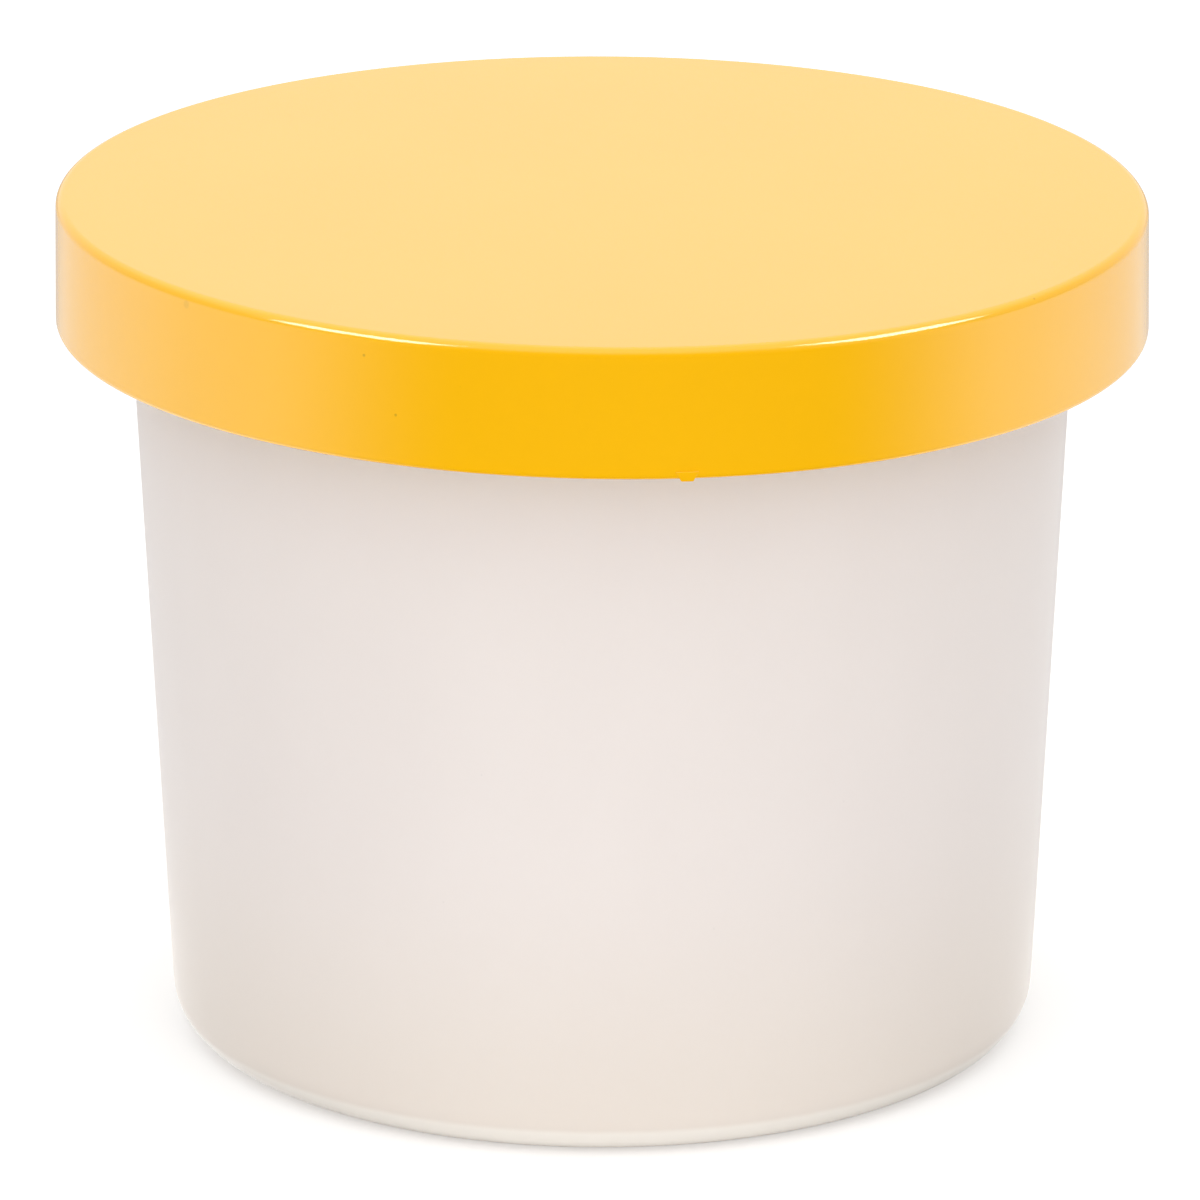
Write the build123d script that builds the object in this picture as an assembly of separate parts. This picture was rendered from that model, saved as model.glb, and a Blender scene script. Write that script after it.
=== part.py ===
from build123d import *
import os
from math import radians, tan

# A round paint cup and its lift-off snap lid. Millimetres, +Z up.
# The origin is the centre of the cup's foot, on the surface that it stands on.
# Both pieces are turned about Z from outlines whose points are
# (radius, height, corner rounding).

# Driving dimensions
LID_DIAMETER = 89.0         # across the lower edge of the lid's side
OVERALL_HEIGHT = 70.25      # foot to lid top, with the lid on
SKIRT_HEIGHT = 10.55        # the lid's side, from its top face to its lower edge
CUP_FOOT_RADIUS = 35.48     # the cup's side carried down to the table
WALL_DRAFT = 2.77           # the cup's side leans out by this many degrees

# Cup
CUP_WALL = 1.5
FLOOR_TOP = 2.3             # the inside floor, above the table
HEEL_ROUNDING = 3.7         # outside, where the side meets the foot
FLOOR_ROUNDING = 1.6        # inside, where the side meets the floor
FOOT_RECESS_RADIUS = 29.4   # the hollow under the floor, inside the foot ring
FOOT_RECESS_DEPTH = 0.7
FOOT_RECESS_SLOPE = 0.5     # the hollow is this much narrower at its top
GATE_SPOT_RADIUS = 1.5      # the moulding mark at the centre of the underside
GATE_SPOT_HEIGHT = 0.4
GATE_SPOT_ROUNDING = 0.15
RIM_RADIUS = 42.5           # the flange round the mouth, which the lid sits on
RIM_THICKNESS = 2.2
RIM_LOWER_ROUNDING = 0.6
RIM_UPPER_ROUNDING = 0.8
RIM_ROOT = 0.8              # under the flange, where it meets the side
MOUTH_ROUNDING = 0.6        # the flange's inner edge

# Lid
LID_TOP = 1.3               # thickness of the flat top
LID_WALL = 1.2
SKIRT_DRAFT = 0.8           # the lid's side leans out by this many degrees
LID_EDGE_ROUNDING = 0.75    # outside, between the top and the side
LID_CORNER_ROUNDING = 1.0   # inside, between the top and the side
SKIRT_EDGE_ROUNDING = 0.5   # the outer lower edge
SNAP_BEAD_RADIUS = 42.8     # clears the cup's rim by 0.3
SNAP_BEAD_HEIGHT = 2.2
SNAP_BEAD_SLOPE = 0.77      # height of each of its sloping faces
SNAP_BEAD_ROOT = 0.4        # rounding where it meets the skirt
SNAP_BEAD_BELOW_RIM = 0.2
PLUG_RADIUS = 36.3          # the ring that stands in the cup's mouth
PLUG_WALL = 1.0
PLUG_DEPTH = 4.6
SEAL_BEAD_RADIUS = 36.85    # the thicker lower part of that ring
SEAL_BEAD_HEIGHT = 1.0
SEAL_BEAD_RISE = 0.8        # from the ring's lower edge
SEAL_BEAD_SLOPE = 0.7       # height of the sloping face above it
RING_ROOT = 0.5             # rounding where the ring meets the lid's top
THIN_EDGE_ROUNDING = 0.3    # the thin edges of rings, beads and the foot

# The small nub left at the skirt's lower edge, to the right of the front
NUB_WIDTH = 2.0             # at its top, and it narrows downwards
NUB_HEIGHT = 0.8
NUB_SLOPE = 58              # degrees, of its two lower sides
NUB_THICKNESS = 0.8
NUB_ROUNDING = 0.08
NUB_PROUD = 0.1             # how far it stands out of the side and the edge
NUB_TURN = 8.5              # degrees from the front, towards +X

CUP_HEIGHT = OVERALL_HEIGHT - LID_TOP
SKIRT_BOTTOM = OVERALL_HEIGHT - SKIRT_HEIGHT


def cup_radius(height):
    """Radius of the cup's outside at a height."""
    return CUP_FOOT_RADIUS + height * tan(radians(WALL_DRAFT))


def skirt_radius(height):
    """Radius of the lid's outside at a height."""
    return LID_DIAMETER / 2 - (height - SKIRT_BOTTOM) * tan(radians(SKIRT_DRAFT))


def turned(outline):
    """A solid turned about Z from an outline of (radius, height, rounding)."""
    corners = [(radius, 0, height) for radius, height, rounding in outline]
    roundings = [rounding for radius, height, rounding in outline]
    edge = FilletPolyline(*corners, radius=roundings, close=True)
    return revolve(make_face(edge.edges()), axis=Axis.Z)


def underside():
    """The outline under the cup, from its centre out to the foot ring."""
    recess_inner = FOOT_RECESS_RADIUS - FOOT_RECESS_SLOPE
    gate_bottom = FOOT_RECESS_DEPTH - GATE_SPOT_HEIGHT
    return [
        (0, gate_bottom, 0),
        (GATE_SPOT_RADIUS, gate_bottom, GATE_SPOT_ROUNDING),
        (GATE_SPOT_RADIUS, FOOT_RECESS_DEPTH, GATE_SPOT_ROUNDING),
        (recess_inner, FOOT_RECESS_DEPTH, THIN_EDGE_ROUNDING),
        (FOOT_RECESS_RADIUS, 0, THIN_EDGE_ROUNDING),
        (cup_radius(0), 0, HEEL_ROUNDING),
    ]


def rim():
    """The flange round the mouth, from its underside to the mouth's edge."""
    rim_bottom = CUP_HEIGHT - RIM_THICKNESS
    return [
        (cup_radius(rim_bottom), rim_bottom, RIM_ROOT),
        (RIM_RADIUS, rim_bottom, RIM_LOWER_ROUNDING),
        (RIM_RADIUS, CUP_HEIGHT, RIM_UPPER_ROUNDING),
        (cup_radius(CUP_HEIGHT) - CUP_WALL, CUP_HEIGHT, MOUTH_ROUNDING),
    ]


def cup():
    """The tapered cup: foot ring, heel, side, rim and an open inside."""
    inside = [
        (cup_radius(FLOOR_TOP) - CUP_WALL, FLOOR_TOP, FLOOR_ROUNDING),
        (0, FLOOR_TOP, 0),
    ]
    return turned(underside() + rim() + inside)


def snap_bead():
    """The bead inside the skirt, just under the cup's rim, from below."""
    top = CUP_HEIGHT - RIM_THICKNESS - SNAP_BEAD_BELOW_RIM
    bottom = top - SNAP_BEAD_HEIGHT
    return [
        (skirt_radius(bottom) - LID_WALL, bottom, SNAP_BEAD_ROOT),
        (SNAP_BEAD_RADIUS, bottom + SNAP_BEAD_SLOPE, THIN_EDGE_ROUNDING),
        (SNAP_BEAD_RADIUS, top - SNAP_BEAD_SLOPE, THIN_EDGE_ROUNDING),
        (skirt_radius(top) - LID_WALL, top, SNAP_BEAD_ROOT),
    ]


def plug():
    """The ring that stands in the cup's mouth, from its outer root inwards."""
    bottom = CUP_HEIGHT - PLUG_DEPTH
    seal_bottom = bottom + SEAL_BEAD_RISE
    seal_top = seal_bottom + SEAL_BEAD_HEIGHT
    plug_inner = PLUG_RADIUS - PLUG_WALL
    return [
        (PLUG_RADIUS, CUP_HEIGHT, RING_ROOT),
        (PLUG_RADIUS, seal_top + SEAL_BEAD_SLOPE, THIN_EDGE_ROUNDING),
        (SEAL_BEAD_RADIUS, seal_top, THIN_EDGE_ROUNDING),
        (SEAL_BEAD_RADIUS, seal_bottom, THIN_EDGE_ROUNDING),
        (PLUG_RADIUS, bottom, THIN_EDGE_ROUNDING),
        (plug_inner, bottom, THIN_EDGE_ROUNDING),
        (plug_inner, CUP_HEIGHT, RING_ROOT),
    ]


def gate_nub():
    """A small wedge at the skirt's lower edge, narrow end down, turned into its place."""
    inner = LID_DIAMETER / 2 + NUB_PROUD - NUB_THICKNESS
    middle = SKIRT_BOTTOM - NUB_PROUD + NUB_HEIGHT / 2
    front = Rot(0, 0, 180) * Trapezoid(NUB_WIDTH, NUB_HEIGHT, NUB_SLOPE)
    wedge = extrude(Plane.XZ * front, NUB_THICKNESS)
    rounded = fillet(wedge.edges().group_by(Axis.Y)[0], NUB_ROUNDING)
    return Rot(0, 0, NUB_TURN) * Pos(0, -inner, middle) * rounded


def lid():
    """The lid: flat top, rounded edge, skirt, snap bead and plug ring."""
    skirt = [
        (0, OVERALL_HEIGHT, 0),
        (skirt_radius(OVERALL_HEIGHT), OVERALL_HEIGHT, LID_EDGE_ROUNDING),
        (skirt_radius(SKIRT_BOTTOM), SKIRT_BOTTOM, SKIRT_EDGE_ROUNDING),
        (skirt_radius(SKIRT_BOTTOM) - LID_WALL, SKIRT_BOTTOM, THIN_EDGE_ROUNDING),
    ]
    corner = [(skirt_radius(CUP_HEIGHT) - LID_WALL, CUP_HEIGHT, LID_CORNER_ROUNDING)]
    centre = [(0, CUP_HEIGHT, 0)]
    return turned(skirt + snap_bead() + corner + plug() + centre) + gate_nub()


os.makedirs("parts", exist_ok=True)
for name, make in {"cup": cup, "lid": lid}.items():
    export_step(make(), f"parts/{name}.step")
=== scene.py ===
import math

import bmesh
import bpy
from bpy.props import FloatProperty, FloatVectorProperty, IntProperty, PointerProperty
from mathutils import Matrix, Vector


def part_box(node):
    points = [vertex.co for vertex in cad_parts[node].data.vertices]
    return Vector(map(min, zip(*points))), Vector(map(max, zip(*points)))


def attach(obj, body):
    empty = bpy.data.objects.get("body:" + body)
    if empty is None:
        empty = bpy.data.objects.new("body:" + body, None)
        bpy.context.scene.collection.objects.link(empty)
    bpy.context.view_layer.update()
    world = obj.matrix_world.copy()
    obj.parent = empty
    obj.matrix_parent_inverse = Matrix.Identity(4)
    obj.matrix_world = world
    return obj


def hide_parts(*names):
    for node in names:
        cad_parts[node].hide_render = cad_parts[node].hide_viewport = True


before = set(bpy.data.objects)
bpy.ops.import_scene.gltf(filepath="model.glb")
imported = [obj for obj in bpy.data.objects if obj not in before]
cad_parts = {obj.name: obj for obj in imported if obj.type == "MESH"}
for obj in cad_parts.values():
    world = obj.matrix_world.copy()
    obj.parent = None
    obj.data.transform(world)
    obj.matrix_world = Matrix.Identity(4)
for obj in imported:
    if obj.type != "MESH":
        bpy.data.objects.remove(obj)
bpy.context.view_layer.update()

bl_info = {
    "name": "Paint cup with lid",
    "version": (1, 0, 0),
    "blender": (4, 5, 0),
    "location": "View3D > Sidebar > Paint cup",
    "description": "Models a frosted paint cup and its yellow snap lid around a fixed frame",
    "category": "Add Mesh",
}

MM = 0.001
CUP_HIGH = Vector(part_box("cup")[1])         # the far upper corner of the cup's own box
LID_HIGH = Vector(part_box("lid")[1])         # and of the lid's


# ---------------------------------------------------------------- sizes and colours

class CupSizes(bpy.types.PropertyGroup):
    """The frosted cup."""

    rim_radius: FloatProperty(
        name="Rim radius", description="Outside of the flange round the mouth",
        default=CUP_HIGH.x, unit="LENGTH")
    height: FloatProperty(
        name="Height", description="From the table to the top of the rim",
        default=CUP_HIGH.z, unit="LENGTH")
    foot_radius: FloatProperty(
        name="Foot radius", description="The side's radius carried down to the table",
        default=35.48 * MM, unit="LENGTH")
    draft: FloatProperty(
        name="Draft", description="How far the side leans out",
        default=math.radians(2.77), subtype="ANGLE")
    wall: FloatProperty(
        name="Wall", description="Thickness of the side",
        default=1.5 * MM, unit="LENGTH")
    floor_top: FloatProperty(
        name="Floor", description="Height of the inside floor above the table",
        default=2.3 * MM, unit="LENGTH")
    heel: FloatProperty(
        name="Heel", description="Rounding between the side and the foot",
        default=3.7 * MM, unit="LENGTH")
    recess_radius: FloatProperty(
        name="Recess radius", description="The hollow under the floor",
        default=29.4 * MM, unit="LENGTH")
    recess_depth: FloatProperty(
        name="Recess depth", description="Depth of the hollow under the floor",
        default=0.7 * MM, unit="LENGTH")
    rim_thickness: FloatProperty(
        name="Rim thickness", description="Height of the flange round the mouth",
        default=2.2 * MM, unit="LENGTH")


class LidSizes(bpy.types.PropertyGroup):
    """The yellow lid."""

    top: FloatProperty(
        name="Top", description="Height of the lid's top face above the table",
        default=LID_HIGH.z, unit="LENGTH")
    radius: FloatProperty(
        name="Radius", description="Radius of the skirt's lower edge",
        default=44.5 * MM, unit="LENGTH")
    skirt: FloatProperty(
        name="Skirt", description="Height of the lid's side",
        default=10.55 * MM, unit="LENGTH")
    draft: FloatProperty(
        name="Draft", description="How far the skirt leans out",
        default=math.radians(0.8), subtype="ANGLE")
    wall: FloatProperty(
        name="Wall", description="Thickness of the skirt",
        default=1.2 * MM, unit="LENGTH")
    plate: FloatProperty(
        name="Plate", description="Thickness of the flat top",
        default=1.3 * MM, unit="LENGTH")
    edge: FloatProperty(
        name="Edge", description="Rounding between the top and the skirt",
        default=0.75 * MM, unit="LENGTH")
    lean: FloatProperty(
        name="Lean", description="How far the lid's outer skin dips towards +X",
        default=math.radians(0.5), subtype="ANGLE")
    twist: FloatProperty(
        name="Twist", description="How much more it dips at the front, and less at the back",
        default=math.radians(0.3), subtype="ANGLE")
    nub_width: FloatProperty(
        name="Nub width", description="Width of the moulding nub at the skirt's lower edge",
        default=1.9 * MM, unit="LENGTH")
    nub_proud: FloatProperty(
        name="Nub proud", description="How far the nub stands out of the skirt",
        default=0.1 * MM, unit="LENGTH")
    nub_turn: FloatProperty(
        name="Nub turn", description="The nub's place round the lid, from the front",
        default=math.radians(8.5), subtype="ANGLE")


class Finish(bpy.types.PropertyGroup):
    """Colours and roughness of the two plastics, and how finely they are turned."""

    segments: IntProperty(
        name="Segments", description="Faces round each turned piece",
        default=256, min=48, max=512)
    yellow: FloatVectorProperty(
        name="Lid yellow", description="The lid's own colour",
        default=(1.0, 0.515, 0.0), size=3, subtype="COLOR", min=0, max=1)
    frosted: FloatVectorProperty(
        name="Frosted plastic", description="The cup's own colour",
        default=(0.92, 0.845, 0.808), size=3, subtype="COLOR", min=0, max=1)
    lid_roughness: FloatProperty(
        name="Lid roughness", description="Roughness of the lid's surface",
        default=0.1, subtype="FACTOR", min=0, max=1)
    cup_roughness: FloatProperty(
        name="Cup roughness", description="Roughness of the cup's surface",
        default=0.3, subtype="FACTOR", min=0, max=1)


class Studio(bpy.types.PropertyGroup):
    """Camera, lamps and floor."""

    distance: FloatProperty(
        name="Distance", description="From the cup's axis to the camera, along the floor",
        default=0.7827, unit="LENGTH")
    height: FloatProperty(
        name="Height", description="The camera's height above the floor",
        default=0.2891, unit="LENGTH")
    tilt: FloatProperty(
        name="Tilt", description="How far the camera looks down",
        default=math.radians(17.945), subtype="ANGLE")
    lens: FloatProperty(
        name="Lens", description="Focal length on a 36 mm sensor, in millimetres",
        default=300.0)
    fill: FloatProperty(
        name="Fill", description="Strength of the white surround",
        default=0.875, min=0)
    softbox: FloatProperty(
        name="Softboxes", description="Brightness of each side softbox, seen in gloss only",
        default=12.0, min=0)


# ---------------------------------------------------------------- meshes

# How finely the outlines are cut
ARC_STEPS = 8                               # pieces in each rounding
LONGEST_EDGE = 3 * MM
MERGE_DISTANCE = 0.001 * MM

# Small sizes of the cup
GATE_RADIUS = 1.5 * MM                      # the moulding mark at the centre of the underside
GATE_HEIGHT = 0.4 * MM
GATE_ROUNDING = 0.15 * MM
RECESS_SLOPE = 0.5 * MM                     # the hollow underneath is this much narrower on top
RIM_ROOT = 0.8 * MM                         # rounding under the flange, where it meets the side
RIM_LOWER_ROUNDING = 0.6 * MM
RIM_UPPER_ROUNDING = 0.8 * MM
MOUTH_ROUNDING = 0.6 * MM                   # the flange's inner edge
FLOOR_ROUNDING = 1.6 * MM                   # inside, where the side meets the floor

# Small sizes of the lid
THIN_EDGE_ROUNDING = 0.3 * MM               # the thin edges of rings and beads, and of the foot
SKIRT_EDGE_ROUNDING = 0.5 * MM              # the outer lower edge
CORNER_ROUNDING = 1.0 * MM                  # inside, between the top and the side
BEAD_RADIUS = 42.8 * MM                     # the snap bead inside the skirt
BEAD_HEIGHT = 2.2 * MM
BEAD_BELOW_SEAT = 2.4 * MM                  # from the lid's seat on the rim down to the bead
BEAD_SLOPE = 0.77 * MM                      # height of each of its sloping faces
BEAD_ROOT = 0.4 * MM                        # rounding where a bead leaves its ring or skirt
PLUG_RADIUS = 36.3 * MM                     # the ring that stands in the cup's mouth
PLUG_WALL = 1.0 * MM
PLUG_DEPTH = 4.6 * MM
PLUG_ROOT = 0.5 * MM                        # rounding where it meets the lid's top
SEAL_RADIUS = 36.85 * MM                    # the thicker lower part of that ring
SEAL_RISE = 0.8 * MM                        # from the ring's lower edge
SEAL_HEIGHT = 1.0 * MM
SEAL_SLOPE = 0.7 * MM                       # height of the sloping face above it
NUB_THICKNESS = 0.8 * MM
NUB_HEIGHT = 0.8 * MM
NUB_ROUNDING = 0.08 * MM
NUB_TAPER = 0.5                             # width of its lower end over that of its upper end


def rounded_outline(mesh, outline):
    """Edges through (radius, height, rounding) points, with their corners rounded."""
    corners = [mesh.verts.new((radius, 0, height)) for radius, height, rounding in outline]
    for start, end in zip(corners, corners[1:]):
        mesh.edges.new((start, end))
    turns = [
        (before.co - here.co).angle(here.co - after.co)
        for before, here, after in zip(corners, corners[1:], corners[2:])
    ]
    for corner, turn, point in zip(corners[1:], turns, outline[1:]):
        if point[2] > 0:
            bmesh.ops.bevel(
                mesh, geom=[corner], offset=point[2] * math.tan(turn / 2), offset_type="OFFSET",
                segments=ARC_STEPS, profile=0.5, material=-1, affect="VERTICES")


def split_long_edges(mesh):
    """Cut the edges so that none is longer than LONGEST_EDGE."""
    for edge in list(mesh.edges):
        cuts = math.ceil(edge.calc_length() / LONGEST_EDGE) - 1
        if cuts > 0:
            bmesh.ops.subdivide_edges(mesh, edges=[edge], cuts=cuts)


def turned(outline, segments):
    """A closed mesh turned about Z from an outline that starts and ends on the axis."""
    mesh = bmesh.new()
    rounded_outline(mesh, outline)
    split_long_edges(mesh)
    bmesh.ops.spin(
        mesh, geom=mesh.verts[:] + mesh.edges[:], cent=(0, 0, 0), axis=(0, 0, 1),
        angle=math.tau, steps=segments, use_merge=True)
    bmesh.ops.remove_doubles(mesh, verts=mesh.verts, dist=MERGE_DISTANCE)
    bmesh.ops.recalc_face_normals(mesh, faces=mesh.faces)
    return mesh


def add_piece(name, mesh, material, body, slot, *nodes):
    """Add the mesh, smooth-shaded, to a body, in place of the nodes given. The slot is not used.
    """
    for face in mesh.faces:
        face.smooth = True
    data = bpy.data.meshes.new(name)
    mesh.to_mesh(data)
    mesh.free()
    data.materials.append(material)
    piece = bpy.data.objects.new(name, data)
    bpy.context.scene.collection.objects.link(piece)
    even = piece.modifiers.new("Even shading", "WEIGHTED_NORMAL")
    even.keep_sharp = True
    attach(piece, body)
    if nodes:
        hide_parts(*nodes)


def cup_outline(sizes):
    """The cup from the centre of its underside, round the rim, to the centre of its floor."""
    def side(height):
        return sizes.foot_radius + height * math.tan(sizes.draft)

    rim_bottom = sizes.height - sizes.rim_thickness
    recess_top = sizes.recess_depth
    gate_bottom = recess_top - GATE_HEIGHT
    return [
        (0, gate_bottom, 0),
        (GATE_RADIUS, gate_bottom, GATE_ROUNDING),
        (GATE_RADIUS, recess_top, GATE_ROUNDING),
        (sizes.recess_radius - RECESS_SLOPE, recess_top, THIN_EDGE_ROUNDING),
        (sizes.recess_radius, 0, THIN_EDGE_ROUNDING),
        (side(0), 0, sizes.heel),
        (side(rim_bottom), rim_bottom, RIM_ROOT),
        (sizes.rim_radius, rim_bottom, RIM_LOWER_ROUNDING),
        (sizes.rim_radius, sizes.height, RIM_UPPER_ROUNDING),
        (side(sizes.height) - sizes.wall, sizes.height, MOUTH_ROUNDING),
        (side(sizes.floor_top) - sizes.wall, sizes.floor_top, FLOOR_ROUNDING),
        (0, sizes.floor_top, 0),
    ]


def skirt_radius(sizes, height):
    """The lid's outer radius at a height."""
    rise = height - (sizes.top - sizes.skirt)
    return sizes.radius - rise * math.tan(sizes.draft)


def lid_outline(sizes):
    """The lid from the centre of its top, down the skirt, to the centre of its underside."""
    def side(height):
        return skirt_radius(sizes, height)

    bottom = sizes.top - sizes.skirt
    seat = sizes.top - sizes.plate
    bead_top = seat - BEAD_BELOW_SEAT
    bead_bottom = bead_top - BEAD_HEIGHT
    plug_bottom = seat - PLUG_DEPTH
    plug_inner = PLUG_RADIUS - PLUG_WALL
    seal_bottom = plug_bottom + SEAL_RISE
    seal_top = seal_bottom + SEAL_HEIGHT
    return [
        (0, sizes.top, 0),
        (side(sizes.top), sizes.top, sizes.edge),
        (side(bottom), bottom, SKIRT_EDGE_ROUNDING),
        (side(bottom) - sizes.wall, bottom, THIN_EDGE_ROUNDING),
        (side(bead_bottom) - sizes.wall, bead_bottom, BEAD_ROOT),
        (BEAD_RADIUS, bead_bottom + BEAD_SLOPE, THIN_EDGE_ROUNDING),
        (BEAD_RADIUS, bead_top - BEAD_SLOPE, THIN_EDGE_ROUNDING),
        (side(bead_top) - sizes.wall, bead_top, BEAD_ROOT),
        (side(seat) - sizes.wall, seat, CORNER_ROUNDING),
        (PLUG_RADIUS, seat, PLUG_ROOT),
        (PLUG_RADIUS, seal_top + SEAL_SLOPE, BEAD_ROOT),
        (SEAL_RADIUS, seal_top, THIN_EDGE_ROUNDING),
        (SEAL_RADIUS, seal_bottom, THIN_EDGE_ROUNDING),
        (PLUG_RADIUS, plug_bottom, THIN_EDGE_ROUNDING),
        (plug_inner, plug_bottom, THIN_EDGE_ROUNDING),
        (plug_inner, seat, PLUG_ROOT),
        (0, seat, 0),
    ]


def tip_outer_skin(mesh, sizes):
    """Dip the lid's top face and skirt towards +X, and leave the rings and the seat inside.

    The inside of the skirt follows at its lower edge, and less and less up to the bead.
    """
    bottom = sizes.top - sizes.skirt
    bead_bottom = sizes.top - sizes.plate - BEAD_BELOW_SEAT - BEAD_HEIGHT
    for vertex in mesh.verts:
        x, y, z = vertex.co
        inside = math.hypot(x, y) < skirt_radius(sizes, z) - sizes.wall / 2
        under = z < sizes.top - sizes.plate / 2
        free = max(0, 1 - (z - bottom) / (bead_bottom - bottom)) if inside and under else 1
        vertex.co.z -= free * x * math.tan(sizes.lean - sizes.twist * y / sizes.radius)


def nub_mesh(sizes):
    """The small wedge that the mould left at the skirt's lower edge."""
    bottom = sizes.top - sizes.skirt
    outer = sizes.radius + sizes.nub_proud
    mesh = bmesh.new()
    bmesh.ops.create_cube(mesh, size=1)
    low = [vertex for vertex in mesh.verts if vertex.co.z < 0]
    bmesh.ops.scale(mesh, vec=(NUB_TAPER, 1, 1), verts=low)
    bmesh.ops.scale(mesh, vec=(sizes.nub_width, NUB_THICKNESS, NUB_HEIGHT), verts=mesh.verts)
    bmesh.ops.bevel(
        mesh, geom=mesh.edges[:], offset=NUB_ROUNDING, offset_type="OFFSET", segments=3,
        profile=0.5, material=-1, affect="EDGES")
    place = Vector((0, NUB_THICKNESS / 2 - outer, bottom + NUB_HEIGHT / 2 - sizes.nub_proud))
    bmesh.ops.translate(mesh, vec=place, verts=mesh.verts)
    bmesh.ops.rotate(
        mesh, cent=(0, 0, 0), matrix=Matrix.Rotation(sizes.nub_turn, 3, "Z"), verts=mesh.verts)
    tip_outer_skin(mesh, sizes)
    return mesh


# ---------------------------------------------------------------- materials

# The cup's colour just under its rim, painted light against the lid's shade; towards its foot,
# painted shade; and in the thick plastic at its floor, a painted band of light
CUP_UPPER_PAINTED_LIGHT = (1.0, 0.97, 0.91, 1)
CUP_LOWER_PAINTED_SHADE = (0.87, 0.787, 0.705, 1)
CUP_HEEL_PAINTED_LIGHT = (1.0, 0.93, 0.86, 1)

# Small flaws on the lid: place, radius and how dark each is
LID_MARKS = (
    ((-32.5 * MM, -30.0 * MM, 69.7 * MM), 0.45 * MM, 0.22),
    ((31.9 * MM, -29.5 * MM, 69.4 * MM), 0.14 * MM, 0.5),
    ((32.9 * MM, -29.2 * MM, 69.6 * MM), 0.14 * MM, 0.4),
    ((33.9 * MM, -28.2 * MM, 69.6 * MM), 0.14 * MM, 0.5),
    ((-18.46 * MM, -40.38 * MM, 68.6 * MM), 0.16 * MM, 0.5),
    ((-15.99 * MM, -41.42 * MM, 64.1 * MM), 0.16 * MM, 0.5),
)


class Wire:
    """A shader node's output, with which shader maths is written as in Python."""

    def __init__(self, socket):
        self.socket = socket

    def node(self, kind, settings=None, values=None, output=0):
        """Add a node of a kind to the same tree, and give the wire from its output."""
        tree = self.socket.id_data
        node = tree.nodes.new(kind)
        for name, value in (settings or {}).items():
            setattr(node, name, value)
        for name, value in (values or {}).items():
            if isinstance(value, Wire):
                tree.links.new(value.socket, node.inputs[name])
            else:
                node.inputs[name].default_value = value
        return Wire(node.outputs[output])

    def maths(self, operation, left, right):
        """The wire from a Math node on two values."""
        return self.node("ShaderNodeMath", {"operation": operation}, {0: left, 1: right})

    def __add__(self, other):
        return self.maths("ADD", self, other)

    def __radd__(self, other):
        return self.maths("ADD", other, self)

    def __sub__(self, other):
        return self.maths("SUBTRACT", self, other)

    def __rsub__(self, other):
        return self.maths("SUBTRACT", other, self)

    def __mul__(self, other):
        return self.maths("MULTIPLY", self, other)

    def __rmul__(self, other):
        return self.maths("MULTIPLY", other, self)


def noise(place, scale, detail, roughness=0.5):
    """Cloudy noise from 0 to 1, whose scale is its number of cells in a metre."""
    return place.node("ShaderNodeTexNoise", values={
        "Vector": place, "Scale": scale, "Detail": detail, "Roughness": roughness})


def step(value, low, high):
    """A smooth step: 0 under low, 1 over high."""
    return value.node("ShaderNodeMapRange", {"interpolation_type": "SMOOTHSTEP"}, {
        "Value": value, "From Min": low, "From Max": high})


def mix(factor, first, second):
    """A colour between two colours."""
    return factor.node("ShaderNodeMix", {"data_type": "RGBA"}, {0: factor, 6: first, 7: second}, 2)


def stretched(place, scale):
    """The place, squeezed or stretched along X, Y and Z."""
    return place.node("ShaderNodeMapping", values={"Vector": place, "Scale": scale})


def axis(place, name):
    """One coordinate of a place."""
    return place.node("ShaderNodeSeparateXYZ", values={"Vector": place}, output=name)


def specks(place, spacing, size):
    """Scattered round specks, as far apart and as large as given, 1 inside and 0 outside."""
    dots = place.node("ShaderNodeTexVoronoi", {"feature": "F1"}, {
        "Vector": place, "Scale": 1 / spacing, "Randomness": 1.0}, "Distance")
    return 1 - step(dots, 0.5 * size / spacing, size / spacing)


def mark(place, centre, radius):
    """A soft round mark about a point, 1 inside and 0 outside."""
    away = place.node("ShaderNodeVectorMath", {"operation": "DISTANCE"}, {0: place, 1: centre}, 1)
    return 1 - step(away, 0.5 * radius, radius)


def plastic(name, constants):
    """A new plastic, with its shader and the wire of its object coordinates."""
    material = bpy.data.materials.new(name)
    material.use_nodes = True
    shader = material.node_tree.nodes["Principled BSDF"]
    for socket, value in constants.items():
        shader.inputs[socket].default_value = value
    place = material.node_tree.nodes.new("ShaderNodeTexCoord").outputs["Object"]
    return material, shader, Wire(place)


def plug_in(shader, **wires):
    """Link wires to the shader's sockets, whose names have _ for each space."""
    for name, wire in wires.items():
        shader.id_data.links.new(wire.socket, shader.inputs[name.replace("_", " ")])


def bump(height, strength, distance):
    """A bump normal from a height between 0 and 1."""
    return height.node("ShaderNodeBump", values={
        "Height": height, "Strength": strength, "Distance": distance})


def shade(colour, factor):
    """The colour, with each channel times the factor."""
    return (*[channel * factor for channel in colour[:3]], 1)


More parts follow.
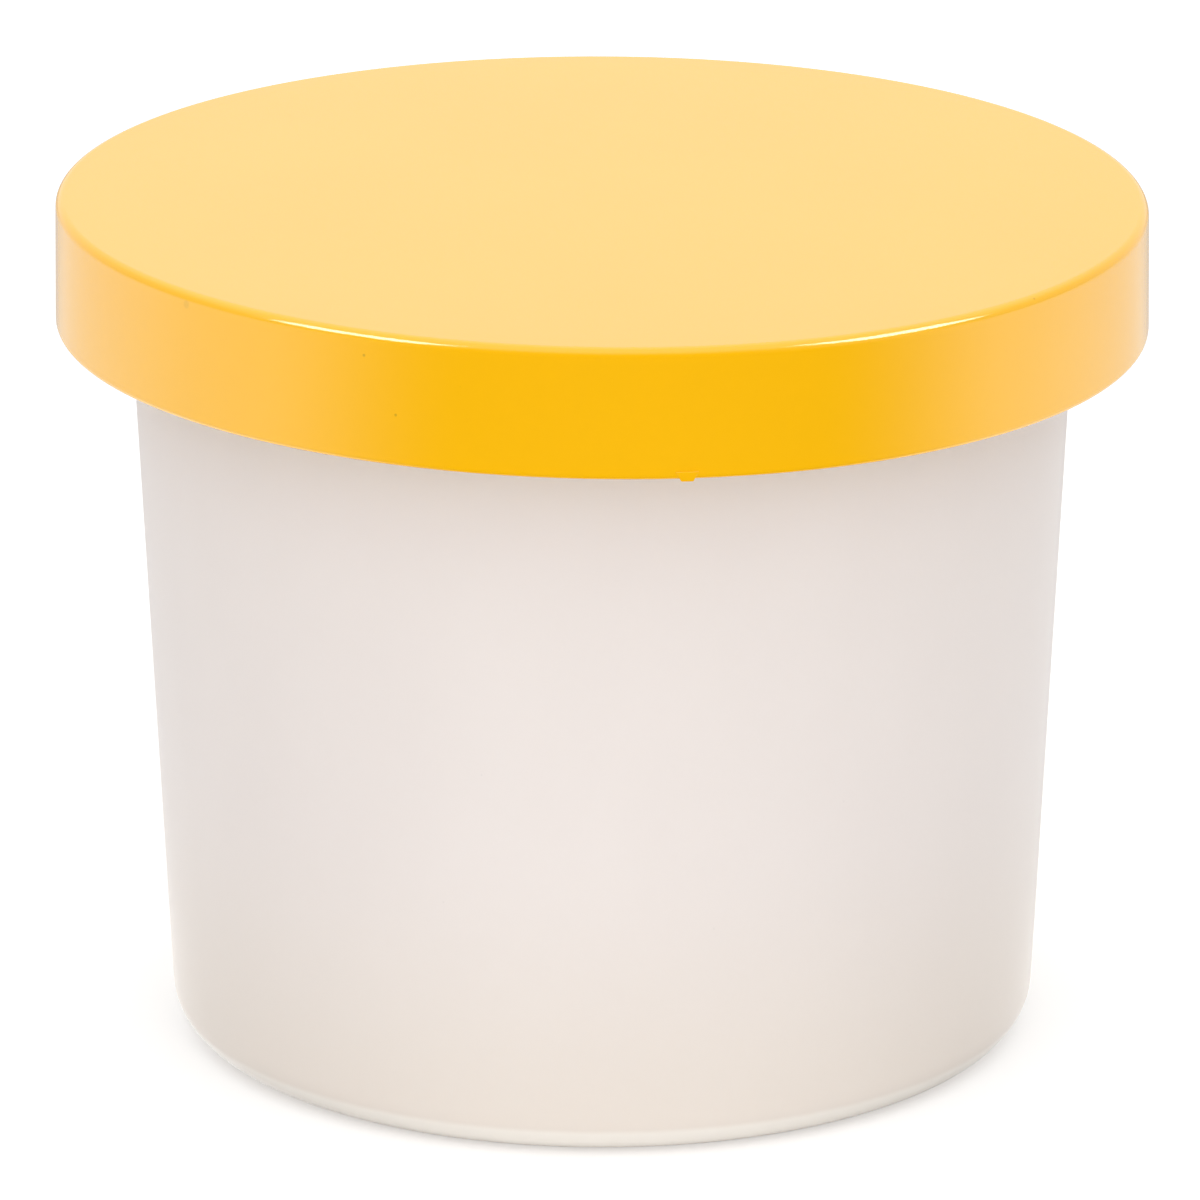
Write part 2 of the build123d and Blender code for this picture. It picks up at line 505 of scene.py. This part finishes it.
def yellow_plastic(finish, lid):
    """Satin yellow: cloudy pigment, small specks, a mottled skirt, scuffs and a few marks."""
    material, shader, place = plastic("yellow_plastic", {"IOR": 1.5})
    # 1 on the lid's top face and 0 on its skirt
    flat = step(axis(place, "Z"), lid.top - 0.9 * MM, lid.top - 0.3 * MM)
    cloud = noise(place, 60, detail=3)
    grain = noise(place, 4200, detail=2)
    mottle = noise(place, 900, detail=2)
    dust = specks(place, 4 * MM, 0.12 * MM)
    colour = mix(step(cloud, 0.3, 0.7), shade(finish.yellow, 1.0), shade(finish.yellow, 0.985))
    colour = mix(0.1 * mottle * (1 - flat), colour, shade(finish.yellow, 0.8))
    colour = mix(dust * 0.25, colour, shade(finish.yellow, 0.6))
    for spot, radius, darkness in LID_MARKS:
        colour = mix(darkness * mark(place, spot, radius), colour, shade(finish.yellow, 0.45))
    scuffs = noise(stretched(place, (1, 6, 1)), 420, detail=4, roughness=0.7)
    rough = finish.lid_roughness + 0.03 * flat * step(cloud, 0.35, 0.75)
    height = 0.7 * grain + 0.3 * scuffs
    plug_in(shader, Base_Color=colour, Roughness=rough, Normal=bump(height, 0.1, 0.05 * MM))
    return material


def frosted_plastic(finish, cup):
    """Frosted translucent plastic: milky clouds, a fine frost, and painted light that makes it
    paler at its rim and heel, with painted shade towards its foot.
    """
    material, shader, place = plastic("frosted_plastic", {
        "IOR": 1.45, "Transmission Weight": 0.06, "Subsurface Weight": 0.4,
        "Subsurface Radius": (1, 1, 1), "Subsurface Scale": 1.5 * MM,
        "Specular IOR Level": 0.03})
    height = axis(place, "Z")
    cloud = noise(stretched(place, (1, 1, 0.6)), 45, detail=3)
    frost = noise(place, 2600, detail=3, roughness=0.6)
    colour = mix(step(cloud, 0.3, 0.7), shade(finish.frosted, 1.0), shade(finish.frosted, 0.975))
    # Painted light: paler just under the rim, lifting the shade that the lid casts
    colour = mix(step(height, 0.75 * cup.height, cup.height), colour, CUP_UPPER_PAINTED_LIGHT)
    # Painted shade: darker and warmer towards the foot
    low = 1 - step(height, 0, 0.4 * cup.height)
    colour = mix(low * 0.8, colour, CUP_LOWER_PAINTED_SHADE)
    # Painted light: a paler band at the heel, standing in for light carried through the thick
    # floor
    heel = 1 - step(height, cup.floor_top - 0.3 * MM, cup.floor_top + 0.3 * MM)
    colour = mix(heel * 0.8, colour, CUP_HEEL_PAINTED_LIGHT)
    dust = specks(place, 5 * MM, 0.12 * MM)
    colour = mix(dust * 0.2, colour, shade(finish.frosted, 0.7))
    rough = finish.cup_roughness + 0.08 * (cloud - 0.5)
    plug_in(shader, Base_Color=colour, Roughness=rough, Normal=bump(frost, 0.2, 0.06 * MM))
    return material


# ---------------------------------------------------------------- stage

FLOOR_HALF_SIZE = 6.0
FLOOR_PALE = (0.8, 0.8, 0.8, 1)
FLOOR_DARK = (0.03, 0.03, 0.03, 1)
SOFTBOX_AZIMUTHS = {"left_softbox": math.radians(-57), "right_softbox": math.radians(73)}
SOFTBOX_ELEVATION = math.radians(40)
SOFTBOX_DISTANCE = 1.1
SOFTBOX_SIZE = (0.6, 0.45)
SENSOR_WIDTH = 36                           # in millimetres
CAMERA_SHIFT = -2.3 / 1200                  # the cup's axis lies 2.3 px right of the middle


def floor_material():
    """A pale floor that the camera sees as white.

    Soft light finds it darker to the cup's left and right. Gloss finds it dark in front,
    bright at the sides and dimmer behind.
    """
    material, shader, place = plastic("pale_floor", {
        "Roughness": 0.9, "Specular IOR Level": 0.1,
        "Emission Color": (1, 1, 1, 1)})
    path = material.node_tree.nodes.new("ShaderNodeLightPath")
    camera = Wire(path.outputs["Is Camera Ray"])
    glossy = Wire(path.outputs["Is Glossy Ray"])
    way = place.node("ShaderNodeVectorMath", {"operation": "NORMALIZE"}, {0: place})
    front = step(0.14 * axis(way, "X") - axis(way, "Y"), 0.2, 0.85)
    behind = step(axis(way, "Y"), 0.1, 1.0)
    dark = front + 0.6 * step(axis(way, "Y"), 0.8, 1.0)
    sides = 0.5 * axis(way, "X") * axis(way, "X") * (1 - camera)
    shadow = dark * glossy + sides * (1 - glossy)
    floor = mix(shadow, FLOOR_PALE, FLOOR_DARK)
    glow = 0.2 * (1 - glossy) + 0.1 * camera + glossy * (1 - front) * (1.15 - behind)
    plug_in(shader, Base_Color=floor, Emission_Strength=glow)
    return material


def add_floor():
    """A wide pale floor under the cup."""
    mesh = bmesh.new()
    bmesh.ops.create_grid(mesh, x_segments=1, y_segments=1, size=FLOOR_HALF_SIZE)
    data = bpy.data.meshes.new("floor")
    mesh.to_mesh(data)
    mesh.free()
    data.materials.append(floor_material())
    floor = bpy.data.objects.new("floor", data)
    bpy.context.scene.collection.objects.link(floor)


def add_surround(studio):
    """A surround that the camera, and light through the cup, see as plain white.

    Soft light finds it brighter above and in front and dimmer at the two sides. Gloss finds
    it dark in front and brighter above and behind.
    """
    world = bpy.data.worlds.new("white_surround")
    world.use_nodes = True
    tree = world.node_tree
    background = tree.nodes["Background"]
    background.inputs["Color"].default_value = (1, 1, 1, 1)
    path = tree.nodes.new("ShaderNodeLightPath")
    camera = Wire(path.outputs["Is Camera Ray"])
    clear = Wire(path.outputs["Is Transmission Ray"])
    glossy = Wire(path.outputs["Is Glossy Ray"])
    place = Wire(tree.nodes.new("ShaderNodeTexCoord").outputs["Generated"])
    in_front = step(-1 * axis(place, "Y"), 0.35, 0.95)
    behind = step(axis(place, "Y"), 0.3, 0.9)
    overhead = step(axis(place, "Z"), 0.4, 0.9)
    gloss = 1 - 0.97 * in_front + 0.2 * behind + overhead
    side = axis(place, "X") * axis(place, "X")
    slope = 0.5 * axis(place, "Z") - 0.15 * axis(place, "Y")
    fill = studio.fill * (1 + slope - 0.5 * side * side)
    light = fill * (1 - glossy) + gloss * glossy
    seen = camera.maths("MAXIMUM", camera, clear)
    strength = seen + light * (1 - seen)
    tree.links.new(strength.socket, background.inputs["Strength"])
    bpy.context.scene.world = world


def add_softbox(name, azimuth, brightness):
    """A lamp that faces the cup from a direction, and only shows in its gloss."""
    width, height = SOFTBOX_SIZE
    lamp = bpy.data.lights.new(name, "AREA")
    lamp.shape = "RECTANGLE"
    lamp.size = width
    lamp.size_y = height
    lamp.energy = brightness * 4 * width * height
    target = Vector((0, 0, CUP_HIGH.z / 2))
    way = Vector((
        math.sin(azimuth) * math.cos(SOFTBOX_ELEVATION),
        -math.cos(azimuth) * math.cos(SOFTBOX_ELEVATION),
        math.sin(SOFTBOX_ELEVATION)))
    box = bpy.data.objects.new(name, lamp)
    box.location = target + way * SOFTBOX_DISTANCE
    box.rotation_euler = way.to_track_quat("Z", "Y").to_euler()
    box.visible_diffuse = False
    box.visible_transmission = False
    bpy.context.scene.collection.objects.link(box)


def add_camera(studio):
    """The camera at the photo's viewing angle."""
    lens = bpy.data.cameras.new("camera")
    lens.sensor_width = SENSOR_WIDTH
    lens.lens = studio.lens
    lens.shift_x = CAMERA_SHIFT
    camera = bpy.data.objects.new("camera", lens)
    camera.location = (0, -studio.distance, studio.height)
    camera.rotation_euler = (math.pi / 2 - studio.tilt, 0, 0)
    bpy.context.scene.collection.objects.link(camera)
    bpy.context.scene.camera = camera


# ---------------------------------------------------------------- operators and panel

class PAINTCUP_OT_cup(bpy.types.Operator):
    """Model the frosted cup"""
    bl_idname = "paintcup.cup"
    bl_label = "Frosted cup"

    def execute(self, context):
        sizes, finish = context.scene.paint_cup, context.scene.paint_cup_finish
        mesh = turned(cup_outline(sizes), finish.segments)
        material = frosted_plastic(finish, sizes)
        add_piece("frosted_cup", mesh, material, "cup", "frosted_plastic", "cup")
        return {"FINISHED"}


class PAINTCUP_OT_lid(bpy.types.Operator):
    """Model the yellow lid and the nub on its edge"""
    bl_idname = "paintcup.lid"
    bl_label = "Yellow lid"

    def execute(self, context):
        sizes, finish = context.scene.paint_lid, context.scene.paint_cup_finish
        material = yellow_plastic(finish, sizes)
        mesh = turned(lid_outline(sizes), finish.segments)
        tip_outer_skin(mesh, sizes)
        add_piece("yellow_lid", mesh, material, "lid", "yellow_plastic", "lid")
        add_piece("lid_gate_nub", nub_mesh(sizes), material, "lid", "yellow_plastic")
        return {"FINISHED"}


class PAINTCUP_OT_stage(bpy.types.Operator):
    """Set up the floor, the lamps and the camera"""
    bl_idname = "paintcup.stage"
    bl_label = "Stage"

    def execute(self, context):
        studio = context.scene.paint_cup_studio
        context.scene.view_settings.view_transform = "Standard"
        add_floor()
        add_surround(studio)
        for name, azimuth in SOFTBOX_AZIMUTHS.items():
            add_softbox(name, azimuth, studio.softbox)
        add_camera(studio)
        return {"FINISHED"}


class PAINTCUP_PT_panel(bpy.types.Panel):
    """The cup's steps and their sizes"""
    bl_idname = "PAINTCUP_PT_panel"
    bl_label = "Paint cup with lid"
    bl_space_type = "VIEW_3D"
    bl_region_type = "UI"
    bl_category = "Paint cup"

    def draw(self, context):
        for operator, group in STEPS:
            self.layout.operator(operator.bl_idname)
            self.draw_settings(context, group)
        self.layout.label(text="Finish")
        self.draw_settings(context, "paint_cup_finish")

    def draw_settings(self, context, group):
        """List the settings of a group, one below the other."""
        settings = getattr(context.scene, group)
        for name in type(settings).__annotations__:
            self.layout.prop(settings, name)


# The operators in order, each with the group of settings that it is listed with
STEPS = (
    (PAINTCUP_OT_cup, "paint_cup"),
    (PAINTCUP_OT_lid, "paint_lid"),
    (PAINTCUP_OT_stage, "paint_cup_studio"),
)
# The groups of settings, by their names on the scene
GROUPS = {
    "paint_cup": CupSizes,
    "paint_lid": LidSizes,
    "paint_cup_finish": Finish,
    "paint_cup_studio": Studio,
}


def register():
    """Register the groups of settings, the operators and the panel."""
    for name, group in GROUPS.items():
        bpy.utils.register_class(group)
        setattr(bpy.types.Scene, name, PointerProperty(type=group))
    for operator, group in STEPS:
        bpy.utils.register_class(operator)
    bpy.utils.register_class(PAINTCUP_PT_panel)


def unregister():
    """Take them out again."""
    bpy.utils.unregister_class(PAINTCUP_PT_panel)
    for operator, group in STEPS:
        bpy.utils.unregister_class(operator)
    for name, group in GROUPS.items():
        delattr(bpy.types.Scene, name)
        bpy.utils.unregister_class(group)


def main():
    """Build the cup, the lid and the stage."""
    register()
    bpy.ops.paintcup.cup()
    bpy.ops.paintcup.lid()
    bpy.ops.paintcup.stage()


if __name__ == "__main__":
    main()
